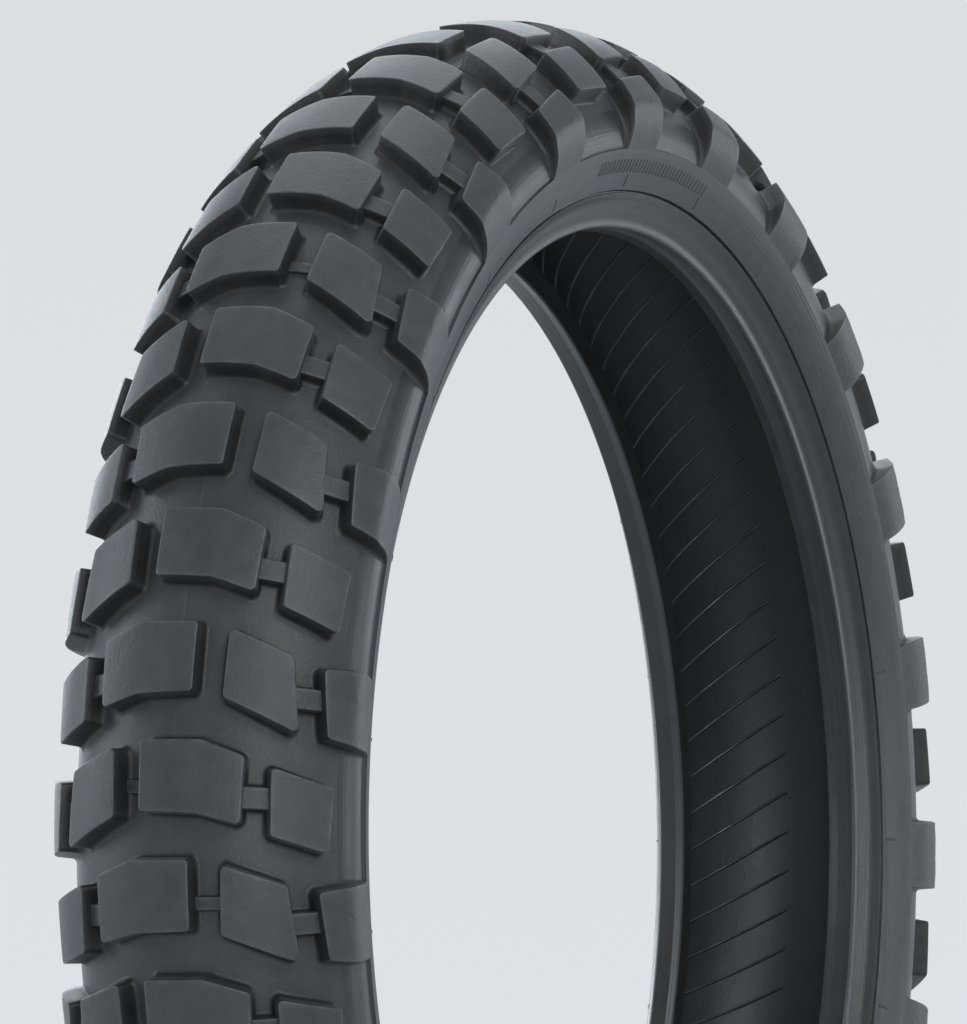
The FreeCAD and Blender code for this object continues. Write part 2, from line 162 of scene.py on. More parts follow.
RIM_LINE_UPPER = sidewall_point(RIM_LINE[1] + RIM_LINE_WIDTH / 2)
RIM_LINE_LOWER = sidewall_point(RIM_LINE[1] - RIM_LINE_WIDTH / 2)
FLANK_MIDDLE = ((LEDGE_TOP[0] + RIM_LINE_UPPER[0]) / 2 + FLANK_BULGE,
                (LEDGE_TOP[1] + RIM_LINE_UPPER[1]) / 2)
FLANK = arc_through(LEDGE_TOP, FLANK_MIDDLE, RIM_LINE_UPPER, 14)


def turn_up(offset):
    """The outer side of the turned-up cords, from the bottom of the bead to its tip."""
    radius = WRAP_RADIUS - offset
    corner = polar(BEAD_CENTRE, radius, TURN_UP_ANGLE)
    return corner, polar(corner, TURN_UP_LENGTH, TURN_UP_LEAN)


def liner_curve(offset):
    """The liner's line from the middle of the crown to the bead."""
    points = arc(CROWN_CENTRE, CARCASS_ARC + offset, 0, CARCASS_SHOULDER_ANGLE)
    shoulder = CARCASS_SHOULDER_ARC + offset
    points += arc(CARCASS_SHOULDER, shoulder, CARCASS_SHOULDER_ANGLE, 90 + SLOPE, 5)[1:]
    points += arc(BEAD_CENTRE, WRAP_RADIUS - offset, SLOPE - 90, -90, 8)
    return points


def full_section(outer, inner):
    """A closed section across the middle, from two half lines that start there."""
    left = outer + inner[::-1]
    right = [(-y, r) for y, r in inner[1:] + outer[:0:-1]]
    return left + right


def tread_base_centre():
    """The middle of the groove floor, with the fine flash line the mould's halves leave."""
    outer = [polar(CROWN_CENTRE, FLOOR_ARC + h, math.degrees(y / FLOOR_ARC)) for y, h in FLASH_LINE]
    outer += arc(CROWN_CENTRE, FLOOR_ARC, 2, TREAD_SPLIT, 2)
    inner = arc(CROWN_CENTRE, FLOOR_ARC - TREAD_BASE_THICK, 0, TREAD_SPLIT, 4)
    return full_section(outer, inner)


def tread_base_side():
    outer = arc(CROWN_CENTRE, FLOOR_ARC, TREAD_SPLIT, TREAD_BASE_ANGLE, 2)
    inner = arc(CROWN_CENTRE, FLOOR_ARC - TREAD_BASE_THICK, TREAD_SPLIT, TREAD_BASE_ANGLE, 4)
    return outer + inner[::-1]


def sidewall():
    """From the tread base over the shoulder and the ledge to the rim line."""
    outer = [polar(CROWN_CENTRE, FLOOR_ARC, TREAD_BASE_ANGLE)]
    outer += arc(SHOULDER_CENTRE, SHOULDER_ARC, TREAD_EDGE, LEDGE_ANGLE - 1.5, 3)
    foot = polar(SHOULDER_CENTRE, SHOULDER_ARC + 0.3, LEDGE_ANGLE - 0.3)
    edge = polar(SHOULDER_CENTRE, SHOULDER_ARC + LEDGE_RISE - 0.25, LEDGE_ANGLE)
    outer += [foot, edge] + FLANK
    tip = turn_up(0)[1]
    inner = [tip]
    tip_angle = section_angle(CARCASS_SHOULDER, tip)
    inner += arc(CARCASS_SHOULDER, CARCASS_SHOULDER_ARC, tip_angle, CARCASS_SHOULDER_ANGLE, 6)
    inner += arc(CROWN_CENTRE, CARCASS_ARC, CARCASS_SHOULDER_ANGLE, WEDGE_ANGLE, 2)
    inner += arc(CROWN_CENTRE, FLOOR_ARC - TREAD_BASE_THICK, WEDGE_ANGLE, TREAD_BASE_ANGLE, 2)
    return outer + inner


def rim_strip():
    """The rim line's groove, the hollow over the rim flange, the heel and the seat."""
    root = (RIM_LINE[0] - RIM_LINE_DEPTH, RIM_LINE[1])
    wall_top = (HEEL_Y, SEAT_RADIUS + HEEL_ROUND + HEEL_WALL)
    flange_centre = (HEEL_Y + FLANGE_CURVE, wall_top[1])
    reach = (RIM_LINE_LOWER[0] - flange_centre[0], RIM_LINE_LOWER[1] - flange_centre[1])
    tangent = math.degrees(math.atan2(*reach) - math.acos(FLANGE_CURVE / math.hypot(*reach)))
    heel_centre = (HEEL_Y - HEEL_ROUND, SEAT_RADIUS + HEEL_ROUND)
    groove_top = sidewall_point(RIM_LINE[1] + RIM_LINE_FLOOR)
    groove_low = sidewall_point(RIM_LINE[1] - RIM_LINE_FLOOR)
    points = [RIM_LINE_UPPER, (groove_top[0] - RIM_LINE_LIP, groove_top[1]), root]
    points += [(groove_low[0] - RIM_LINE_LIP, groove_low[1]), RIM_LINE_LOWER]
    band_end = polar(flange_centre, FLANGE_CURVE, tangent)
    swell = polar((0, 0), RIM_BAND_BULGE, tangent + 180)
    for part in np.linspace(0, 1, 11)[1:-1]:
        lift = math.sin(math.pi * part) ** 2
        y = RIM_LINE_LOWER[0] + (band_end[0] - RIM_LINE_LOWER[0]) * part - swell[0] * lift
        r = RIM_LINE_LOWER[1] + (band_end[1] - RIM_LINE_LOWER[1]) * part - swell[1] * lift
        points.append((y, r))
    points += arc(flange_centre, FLANGE_CURVE, tangent, -90, 8)
    points += arc(heel_centre, HEEL_ROUND, 90, 180, 18)
    points += [(SEAT_INNER_Y, SEAT_RADIUS)]
    radius = WRAP_RADIUS - CHAFER_OFFSET
    seat_angle = -180 + math.degrees(math.asin((BEAD_CENTRE[0] - SEAT_INNER_Y) / radius))
    points += arc(BEAD_CENTRE, radius, seat_angle, TURN_UP_ANGLE, 8)
    points += [turn_up(CHAFER_OFFSET)[1], turn_up(0)[1]]
    return points


def toe_strip():
    radius = WRAP_RADIUS - CHAFER_OFFSET
    seat_angle = -180 + math.degrees(math.asin((BEAD_CENTRE[0] - SEAT_INNER_Y) / radius))
    points = [(SEAT_INNER_Y, SEAT_RADIUS), TOE_BOTTOM, TOE_TOP]
    points += [polar(BEAD_CENTRE, WRAP_RADIUS - LINER_INNER, -90)]
    points += arc(BEAD_CENTRE, radius, -90, seat_angle, 8)
    return points


# ---- meshes -----------------------------------------------------------------
class Shape:
    """Points in millimetres with one painted light and wear value each, and the faces between them."""

    def __init__(self):
        self.points = []
        self.values = []
        self.faces = []
        self.count = 0

    def add(self, points, faces, values=None):
        points = np.asarray(points, float).reshape(-1, 3)
        self.points.append(points)
        self.values.append(np.zeros(len(points)) if values is None else np.asarray(values, float))
        start = self.count
        self.faces += [tuple(int(i) + start for i in face) for face in faces]
        self.count += len(points)


def on_wheel(y, r, theta):
    """Points from section places and angles round the wheel, in radians."""
    y, r, theta = np.broadcast_arrays(y, r, theta)
    return np.stack([r * np.cos(theta), y, r * np.sin(theta)], -1)


def new_piece(node, shape, material):
    """A mesh object for a CAD node, in the node's place."""
    mesh = bpy.data.meshes.new(node + "_rubber")
    points = np.concatenate(shape.points) / 1000
    mesh.from_pydata(points.tolist(), [], shape.faces)
    mesh.validate()
    # Per point: below zero paints shade on walls and fillets, above zero paints a highlight on bevels
    # and rib crests, with edge wear on the tread's bevels.
    painted_light_and_wear = mesh.attributes.new("painted_light_and_wear", "FLOAT", "POINT")
    painted_light_and_wear.data.foreach_set("value", np.concatenate(shape.values).astype(np.float32))
    mesh.materials.append(material)
    mesh.shade_smooth()
    mesh.set_sharp_from_angle(angle=math.radians(SHARP_ANGLE))
    piece = bpy.data.objects.new(node + "_rubber", mesh)
    bpy.context.scene.collection.objects.link(piece)
    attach(piece, "root")
    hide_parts(node)
    return piece


def add_ring(shape, section, segments=SEGMENTS):
    """A closed section turned about the axle."""
    section = np.array(section, float)
    following = np.roll(section, -1, axis=0)
    area = np.sum(section[:, 0] * following[:, 1] - following[:, 0] * section[:, 1])
    if area < 0:
        section = section[::-1]
    turns = np.linspace(0, 2 * math.pi, segments, endpoint=False)
    points = on_wheel(section[None, :, 0], section[None, :, 1], turns[:, None])
    count = len(section)
    i, j = np.meshgrid(np.arange(segments), np.arange(count), indexing="ij")
    i2, j2 = (i + 1) % segments, (j + 1) % count
    faces = np.stack([i * count + j, i2 * count + j, i2 * count + j2, i * count + j2], -1)
    shape.add(points, faces.reshape(-1, 4))


def rounded(outline, radii, spacing=2.6):
    """A clockwise outline with its corners rounded: its points and their outward normals."""
    points = []
    normals = []
    count = len(outline)
    corners = []
    for i in range(count):
        a, b, c = (np.array(outline[(i + k) % count], float) for k in (-1, 0, 1))
        before = (b - a) / np.linalg.norm(b - a)
        after = (c - b) / np.linalg.norm(c - b)
        turn = before[1] * after[0] - before[0] * after[1]
        bend = math.acos(max(-1, min(1, before @ after)))
        radius = max(radii[i], 0.05)
        pull = radius * math.tan(bend / 2)
        side = 1 if turn > 0 else -1
        n0 = np.array([-before[1], before[0]])
        centre = b - before * pull - n0 * radius * side
        steps = max(2, int(math.degrees(bend) / 14) + 1) if radius > 0.1 else 2
        arc_points = []
        arc_normals = []
        for f in np.linspace(0, 1, steps):
            angle = bend * f
            n = n0 * math.cos(angle) + before * math.sin(angle) * side
            n = n / np.linalg.norm(n)
            arc_points.append(centre + n * radius * side)
            arc_normals.append(n)
        corners.append((arc_points, arc_normals))
    for i in range(count):
        arc_points, arc_normals = corners[i]
        points += arc_points
        normals += arc_normals
        start = arc_points[-1]
        stop = corners[(i + 1) % count][0][0]
        pieces = max(1, int(np.linalg.norm(stop - start) / spacing))
        for f in np.linspace(0, 1, pieces + 1)[1:-1]:
            points.append(start + (stop - start) * f)
            normals.append(arc_normals[-1])
    return np.array(points), np.array(normals)


def block_profile(height, fillet, bevel, draft=WALL_DRAFT):
    """Wall stations from the foot to the top: outward offset, height and painted light value (below zero
    painted shade, above zero a painted highlight with edge wear).
    """
    k = math.tan(math.radians(draft))
    centre = (height - fillet) * k + fillet * math.hypot(1, k)
    stations = [(centre + 1.0, -0.03, 0.0)]
    # Painted shade from the fillet's foot up the wall.
    for b, value in ((0, -0.3), (18, -0.8), (48, -1.0), (90 - draft, -1.0)):
        a = math.radians(b)
        stations.append((centre - fillet * math.sin(a), fillet * (1 - math.cos(a)), value))
    middle = (fillet + height - bevel) / 2
    stations.append(((height - middle) * k, middle, -1.0))
    stations.append((bevel * k, height - bevel, -0.6))
    # Painted highlight, with edge wear, on the bevel and the top's edge.
    for b in (30, 60, 90):
        a = math.radians(b)
        offset = bevel * (k * (1 - b / 90) + math.cos(a) - 1)
        stations.append((offset, height - bevel * (1 - math.sin(a)), 1.0))
    stations.append((-bevel - 0.7, height, 0.35))
    return stations


def add_block(shape, outline, radii, profile, place, inner_rings=5, keep=None):
    """A rounded block: stations up its walls, then rings in to the middle of its top."""
    points, normals = rounded(outline, radii)
    count = len(points)
    middle = points.mean(0)
    loops = []
    values = []
    for offset, height, value in profile:
        loop = points + normals * offset
        if keep is not None:
            loop = keep(points, loop)
        loops.append(np.column_stack([loop, np.full(count, height)]))
        values.append(np.full(count, value))
    last = loops[-1]
    top = profile[-1][1]
    for f in np.linspace(1, 0, inner_rings + 1)[1:-1]:
        ring = middle + (last[:, :2] - middle) * f
        loops.append(np.column_stack([ring, np.full(count, top)]))
        values.append(np.zeros(count))
    flat = np.concatenate(loops)
    flat = np.vstack([flat, [middle[0], middle[1], top], [middle[0], middle[1], profile[0][1]]])
    faces = []
    for k in range(len(loops) - 1):
        low, high = k * count, (k + 1) * count
        for i in range(count):
            j = (i + 1) % count
            faces.append((low + j, low + i, high + i, high + j))
    crown = (len(loops) - 1) * count
    for i in range(count):
        j = (i + 1) % count
        faces.append((crown + j, crown + i, len(flat) - 2))
        faces.append((i, j, len(flat) - 1))
    values = np.concatenate(values + [np.zeros(1), np.full(1, -1.0)])
    points3, flip = place(flat[:, 0], flat[:, 1], flat[:, 2])
    if flip:
        faces = [face[::-1] for face in faces]
    shape.add(points3, faces, values)


# ---- the tread's own surface ----------------------------------------------------
EDGE_RUN = CROWN_ARC * math.radians(TREAD_EDGE)
LUG_TOP = polar(CROWN_CENTRE, CROWN_ARC, TREAD_EDGE)
LUG_CIRCLE = circle_through(LUG_TOP, LUG_BULGE, LEDGE_TOP)
LUG_ANGLES = (section_angle(LUG_CIRCLE[0], LUG_TOP), section_angle(LUG_CIRCLE[0], LEDGE_TOP))
LUG_RUN = LUG_CIRCLE[1] * math.radians(abs(LUG_ANGLES[1] - LUG_ANGLES[0]))
TREAD_END = EDGE_RUN + LUG_RUN


def tread_place(side, row):
    """Maps (across, along, height) on the tread to space, on one side at one row."""
    def place(across, along, height):
        run = np.abs(across)
        sign = np.where(across < 0, -1.0, 1.0) * side
        phi = run / CROWN_ARC
        y = (FLOOR_ARC + height) * np.sin(phi)
        r = CROWN_CENTRE[1] + (FLOOR_ARC + height) * np.cos(phi)
        u = np.clip((run - EDGE_RUN) / LUG_RUN, 0, 1)
        floor = np.radians(TREAD_EDGE + (LEDGE_ANGLE - TREAD_EDGE) * u)
        fy = SHOULDER_CENTRE[0] + SHOULDER_ARC * np.sin(floor)
        fr = SHOULDER_CENTRE[1] + SHOULDER_ARC * np.cos(floor)
        lug = np.radians(LUG_ANGLES[0] + (LUG_ANGLES[1] - LUG_ANGLES[0]) * u)
        ty = LUG_CIRCLE[0][0] + LUG_CIRCLE[1] * np.sin(lug)
        tr = LUG_CIRCLE[0][1] + LUG_CIRCLE[1] * np.cos(lug)
        rise = height / GROOVE_DEPTH
        past = run > EDGE_RUN
        y = np.where(past, fy + (ty - fy) * rise, y)
        r = np.where(past, fr + (tr - fr) * rise, r)
        theta = math.radians(row) + along / OUTER_RADIUS
        return on_wheel(y * sign, r, theta), side < 0
    return place


def row_angle(step):
    return FIRST_ROW + 360 * step / PITCHES


CENTRE_BLOCK = [(-10, 13.3), (13.8, 13.3), (31, 7.4), (30, -18.4), (13, -13.9), (-10, -13)]
MIDDLE_BLOCK = [(22.5, 11.4), (47, 2.8), (51, -27.5), (21.8, -15)]
OUTER_BLOCK = [(41, 3.7), (65.6, -3.7), (63.5, -29.8), (41, -22.6)]
SHOULDER_BLOCK = [(59.2, -0.7), (77, 1.2), (TREAD_END, 1.35),
                  (TREAD_END, -31.1), (77, -30.8), (62.2, -28)]
CENTRE_TIE = [(26, -3.6), (45, -4.2), (45, -12.6), (26, -12.0)]
SHOULDER_TIE = [(46, -8.5), (65, -8.5), (65, -17.0), (46, -17.0)]
WEAR_BAR = [(5, -1.0), (27, -1.0), (27, -6.0), (5, -6.0)]


def keep_end(points, loop):
    """The shoulder block's outer end stays on the sidewall's ledge."""
    at_end = points[:, 0] > TREAD_END - 0.4
    loop = loop.copy()
    loop[:, 0] = np.minimum(loop[:, 0], TREAD_END)
    loop[at_end, 0] = TREAD_END
    return loop


BLOCK_WALL = block_profile(GROOVE_DEPTH, 1.9, 0.4)
TIE_WALL = block_profile(TIE_HEIGHT, 1.6, 0.5)
# Outline, corner radii, wall, what keeps an end in place, and whether the row is half a pitch late.
PATTERN = {
    "centre_blocks": (CENTRE_BLOCK, (1.6, 4.0, 2.2, 2.0, 5.0, 1.6), BLOCK_WALL, None, 0),
    "outer_blocks": (OUTER_BLOCK, (1.8, 2.0, 1.8, 1.8), BLOCK_WALL, None, 0),
    "centre_ties": (CENTRE_TIE, (0.3, 0.3, 0.3, 0.3), TIE_WALL, None, 0),
    "middle_blocks": (MIDDLE_BLOCK, (2.0, 2.0, 2.0, 2.0), BLOCK_WALL, None, 1),
    "shoulder_blocks": (SHOULDER_BLOCK, (1.8, 4.0, 0.0, 0.0, 4.0, 1.8), BLOCK_WALL, keep_end, 1),
    "shoulder_ties": (SHOULDER_TIE, (0.3, 0.3, 0.3, 0.3), TIE_WALL, None, 1),
}


# ---- materials ----------------------------------------------------------------------
class Nodes:
    """A small helper that adds nodes to a new material and links them."""

    def __init__(self, name):
        self.material = bpy.data.materials.new(name)
        self.material.use_nodes = True
        self.tree = self.material.node_tree
        self.shader = self.tree.nodes["Principled BSDF"]

    def add(self, kind, inputs=None, **settings):
        node = self.tree.nodes.new(kind)
        for key, value in settings.items():
            setattr(node, key, value)
        for key, value in (inputs or {}).items():
            socket = node.inputs[key]
            if isinstance(value, bpy.types.NodeSocket):
                self.tree.links.new(value, socket)
            else:
                socket.default_value = value
        return node

    def math(self, operation, a, b=0.0, c=0.0):
        return self.add("ShaderNodeMath", {0: a, 1: b, 2: c}, operation=operation).outputs[0]

    def noise(self, where, scale, detail=3.0, roughness=0.55):
        inputs = {"Vector": where, "Scale": scale, "Detail": detail, "Roughness": roughness}
        return self.add("ShaderNodeTexNoise", inputs).outputs["Fac"]

    def remap(self, value, low, high, to_low, to_high):
        inputs = {"Value": value, "From Min": low, "From Max": high, "To Min": to_low, "To Max": to_high}
        return self.add("ShaderNodeMapRange", inputs).outputs["Result"]

    def mix(self, factor, a, b):
        node = self.add("ShaderNodeMix", data_type="RGBA")
        self.tree.links.new(factor, node.inputs[0])
        for index, value in ((6, a), (7, b)):
            if isinstance(value, bpy.types.NodeSocket):
                self.tree.links.new(value, node.inputs[index])
            else:
                node.inputs[index].default_value = value
        return node.outputs[2]

    def set(self, socket, value):
        if isinstance(value, bpy.types.NodeSocket):
            self.tree.links.new(value, self.shader.inputs[socket])
        else:
            self.shader.inputs[socket].default_value = value

    def bump(self, height, distance, strength=1.0, normal=None):
        inputs = {"Height": height, "Distance": distance, "Strength": strength}
        if normal is not None:
            inputs["Normal"] = normal
        return self.add("ShaderNodeBump", inputs).outputs["Normal"]

    def sheen(self, weight):
        """The faint cool bloom on rubber, seen at a slant."""
        if weight:
            self.set("Sheen Weight", weight)
            self.set("Sheen Roughness", 0.35)
            self.set("Sheen Tint", colour(0.72, 0.84, 0.95))

    def place(self):
        return self.add("ShaderNodeTexCoord").outputs["Object"]

    def wheel_place(self):
        """Coordinates that run round the wheel: (turn, across, out), in metres."""
        axes = self.add("ShaderNodeSeparateXYZ", {"Vector": self.place()}).outputs
        forward = self.math("MULTIPLY", axes["X"], axes["X"])
        out = self.math("SQRT", self.math("MULTIPLY_ADD", axes["Z"], axes["Z"], forward))
        turn = self.math("MULTIPLY", self.math("ARCTAN2", axes["Z"], axes["X"]), TURN_RADIUS)
        inputs = {"X": turn, "Y": axes["Y"], "Z": out}
        return self.add("ShaderNodeCombineXYZ", inputs).outputs["Vector"]


def colour(r, g, b):
    return (r, g, b, 1.0)


def rubber(name, dark, light, painted_wall_shade, roughness, grain, grain_depth,
           sheen=0.0, rub_and_highlight=0.4, highlight_and_wear_gain=2.0):
    """Vulcanised rubber: mottled colour, fine grain, painted shade on its walls, and edges lightened by
    wear and a painted highlight.
    """
    n = Nodes(name)
    place = n.place()
    broad = n.noise(place, 14.0, 4.0)
    mottle = n.noise(place, 130.0, 4.0, 0.6)
    fine = n.noise(place, grain, 2.0, 0.6)
    painted_light_and_wear = n.add("ShaderNodeAttribute", attribute_name="painted_light_and_wear", attribute_type="GEOMETRY").outputs["Fac"]
    blend = n.math("MULTIPLY_ADD", mottle, 0.5, n.math("MULTIPLY", broad, 0.5))
    patch = n.noise(place, 34.0, 6.0, 0.7)
    blend = n.math("MULTIPLY_ADD", patch, 0.4, n.math("MULTIPLY", blend, 0.6))
    base = n.mix(n.remap(blend, 0.38, 0.62, 0.0, 1.0), dark, light)
    # Painted shade: walls, fillet feet and rib feet are darkened towards the wall colour.
    low = n.math("MULTIPLY", n.remap(painted_light_and_wear, -1.0, 0.0, 0.95, 0.0),
                 n.remap(mottle, 0.35, 0.7, 1.0, 0.8))
    base = n.mix(low, base, painted_wall_shade)
    # Painted highlight with edge wear: bevels and rib crests are lightened and made a little smoother.
    rubbed_and_highlit = n.math("MULTIPLY", n.remap(painted_light_and_wear, 0.1, 1.0, 0.0, rub_and_highlight),
                    n.remap(mottle, 0.4, 0.6, 0.4, 1.0))
    base = n.mix(rubbed_and_highlit, base, tuple(c * highlight_and_wear_gain for c in light[:3]) + (1.0,))
    n.set("Base Color", base)
    uneven = n.math("MULTIPLY_ADD", fine, 0.35, n.math("MULTIPLY", blend, 0.65))
    spread = n.remap(uneven, 0.35, 0.65, roughness - 0.06, roughness + 0.08)
    n.set("Roughness", n.math("MULTIPLY_ADD", rubbed_and_highlit, -0.18, spread))
    soft = n.bump(blend, 0.0005, 0.45)
    n.set("Normal", n.bump(fine, grain_depth, 0.7, soft))
    n.set("Specular IOR Level", 0.5)
    n.sheen(sheen)
    return n.material


def smooth_rubber(name, dark, light, roughness, rings, sheen=0.0):
    """Rubber off a turned mould: satin, with faint rings round the wheel."""
    n = Nodes(name)
    place = n.place()
    wheel = n.wheel_place()
    broad = n.noise(place, 9.0, 4.0)
    cloud = n.noise(place, 90.0, 5.0, 0.62)
    fine = n.noise(place, 900.0, 2.0)
    stretch = n.add("ShaderNodeMapping", {"Vector": wheel, "Scale": (12.0, rings, rings)})
    turned = n.noise(stretch.outputs["Vector"], 1.0, 2.0)
    blend = n.math("MULTIPLY_ADD", cloud, 0.45, n.math("MULTIPLY", broad, 0.55))
    base = n.mix(n.remap(blend, 0.36, 0.64, 0.0, 1.0), dark, light)
    n.set("Base Color", base)
    uneven = n.math("MULTIPLY_ADD", turned, 0.4, n.math("MULTIPLY", cloud, 0.6))
    n.set("Roughness", n.remap(uneven, 0.35, 0.65, roughness - 0.05, roughness + 0.07))
    soft = n.bump(turned, 0.0002, 0.55)
    n.set("Normal", n.bump(fine, 0.00009, 0.6, soft))
    n.set("Specular IOR Level", 0.5)
    n.sheen(sheen)
    return n.material


BAND_REPEAT = 0.31416  # the wave texture's own repeat at a scale of 1: pi / 10


def cord(name, low, high, pitch, lean):
    """Rubberised cords side by side, leaning across the wheel."""
    n = Nodes(name)
    inputs = {"Vector": n.wheel_place(), "Rotation": (0.0, 0.0, math.radians(lean))}
    turned = n.add("ShaderNodeMapping", inputs).outputs["Vector"]
    inputs = {"Vector": turned, "Scale": BAND_REPEAT / pitch, "Distortion": 0.0}
    wave = n.add("ShaderNodeTexWave", inputs, wave_type="BANDS", bands_direction="X").outputs["Fac"]
    fray = n.noise(turned, 900.0, 3.0)
    n.set("Base Color", n.mix(n.math("MULTIPLY", wave, n.remap(fray, 0.3, 0.7, 0.7, 1.0)), low, high))
    n.set("Roughness", n.remap(fray, 0.3, 0.7, 0.7, 0.9))
    n.set("Normal", n.bump(wave, 0.0002, 0.8, n.bump(fray, 0.0001, 0.5)))
    return n.material


def wire(name):
    """Drawn steel wire with a thin bronze coat, drawn marks along its run."""
    n = Nodes(name)
    stretch = n.add("ShaderNodeMapping", {"Vector": n.wheel_place(), "Scale": (40.0, 4000.0, 4000.0)})
    marks = n.noise(stretch.outputs["Vector"], 1.0, 3.0)
    n.set("Base Color", n.mix(marks, colour(0.50, 0.42, 0.30), colour(0.68, 0.60, 0.46)))
    n.set("Metallic", 1.0)
    n.set("Roughness", n.remap(marks, 0.3, 0.7, 0.28, 0.42))
    n.set("Normal", n.bump(marks, 0.00005, 0.5))
    return n.material


# The third colour is the painted shade on the block walls and fillets.
TREAD = rubber("tread_rubber", colour(0.029, 0.033, 0.036), colour(0.052, 0.057, 0.061),
               colour(0.011, 0.012, 0.013), 0.44, 760.0, 0.00022, 0.12)
SIDE = smooth_rubber("sidewall_rubber", colour(0.020, 0.023, 0.026),
                     colour(0.036, 0.041, 0.045), 0.36, 900.0, 0.10)
BEAD = smooth_rubber("bead_rubber", colour(0.015, 0.017, 0.019),
                     colour(0.025, 0.028, 0.031), 0.31, 1100.0, 0.05)
# The third colour is the painted shade at the ribs' feet; the last two numbers set the painted highlight
# on the rib crests.
LINER = rubber("liner_rubber", colour(0.024, 0.026, 0.027), colour(0.034, 0.037, 0.039),
               colour(0.006, 0.006, 0.006), 0.42, 700.0, 0.00016, rub_and_highlight=1.0, highlight_and_wear_gain=3.0)
CUSHION = rubber("cushion_rubber", colour(0.030, 0.030, 0.031), colour(0.045, 0.045, 0.047),
                 colour(0.06, 0.06, 0.06), 0.7, 900.0, 0.0001)
FILLER = rubber("filler_rubber", colour(0.026, 0.026, 0.028), colour(0.038, 0.038, 0.040),
                colour(0.05, 0.05, 0.05), 0.6, 900.0, 0.0001)
HIDDEN = {
    "carcass_ply": cord("ply_cord", colour(0.12, 0.10, 0.08), colour(0.26, 0.22, 0.17), 0.0012, 0.0),
    "belt": cord("belt_cord", colour(0.18, 0.15, 0.07), colour(0.38, 0.32, 0.16), 0.0014, 66.0),
    "cap_ply": cord("cap_cord", colour(0.16, 0.16, 0.15), colour(0.32, 0.32, 0.30), 0.001, 90.0),
    "chafer": cord("chafer_weave", colour(0.09, 0.085, 0.08), colour(0.20, 0.19, 0.17), 0.0008, 45.0),
    "bead_wrap": cord("wrap_tape", colour(0.12, 0.11, 0.09), colour(0.25, 0.23, 0.20), 0.003, 12.0),
    "bead_wires": wire("bead_steel"),
    "bead_filler": FILLER,
    "shoulder_wedge": CUSHION,
}
for node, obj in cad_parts.items():
    for start, material in HIDDEN.items():
        if node.startswith(start):
            obj.data.materials.clear()
            obj.data.materials.append(material)


# ---- rings ----------------------------------------------------------------------------
def run_lengths(line):
    """The distance from the start of a section line to each of its points."""
    steps = np.linalg.norm(np.diff(line, axis=0), axis=1)
    return np.concatenate([[0], np.cumsum(steps)])


def side_ring(shape, section, side):
    """A ring from a left section, or from its mirror image on the right."""
    add_ring(shape, [(y * side, r) for y, r in section])


shape = Shape()
add_ring(shape, tread_base_centre())
new_piece("tread_base_centre", shape, TREAD)

FLANK_POINTS = np.array(FLANK)
FLANK_LENGTHS = run_lengths(FLANK_POINTS)
FLANK_CENTRE = np.array(circle_through(LEDGE_TOP, FLANK_MIDDLE, RIM_LINE_UPPER)[0])


def flank_place(side, angle):
    """Maps (down the flank, along, height) to space beside one sidewall."""
    def place(down, along, height):
        y = np.interp(down, FLANK_LENGTHS, FLANK_POINTS[:, 0])
        r = np.interp(down, FLANK_LENGTHS, FLANK_POINTS[:, 1])
        out = np.stack([y, r], -1) - FLANK_CENTRE
        out /= np.linalg.norm(out, axis=-1)[..., None]
        y = y + out[..., 0] * height
        r = r + out[..., 1] * height
        theta = math.radians(angle) + along / FLANK_RADIUS
        return on_wheel(y * side, r, theta), side < 0
    return place


MARK_PROFILE = [(0.35, -0.1, 0.0), (0.2, 0.05, 0.0), (0.0, 0.24, 0.3), (-0.12, 0.3, 0.5)]
PANEL_PROFILE = [(0.45, -0.1, 0.0), (0.3, 0.05, 0.0), (0.08, 0.28, 0.3), (-0.1, 0.34, 0.6)]
MARK = [(10.6, 0.3), (15.9, 0.3), (15.9, -0.3), (10.6, -0.3)]
SERRATION = [(4.6, 1.6), (9.6, -0.2), (9.6, -1.3), (4.6, 0.5)]
SERRATIONS = 34
SERRATION_STEP = 0.68
PANELS = (78.0, 198.0, 318.0)

for name, side in (("left", 1), ("right", -1)):
    shape = Shape()
    side_ring(shape, tread_base_side(), side)
    new_piece("tread_base_" + name, shape, TREAD)

    shape = Shape()
    side_ring(shape, sidewall(), side)
    for step in range(PITCHES):
        place = flank_place(side, row_angle(step + 0.25))
        add_block(shape, MARK, (0.2,) * 4, MARK_PROFILE, place, 2)
    for angle in PANELS:
        for k in range(SERRATIONS):
            place = flank_place(side, angle + SERRATION_STEP * k)
            add_block(shape, SERRATION, (0.25,) * 4, PANEL_PROFILE, place, 2)
    new_piece("sidewall_" + name, shape, SIDE)

    shape = Shape()
    side_ring(shape, rim_strip(), side)
    new_piece("rim_strip_" + name, shape, BEAD)

    shape = Shape()
    side_ring(shape, toe_strip(), side)
    new_piece("toe_strip_" + name, shape, BEAD)


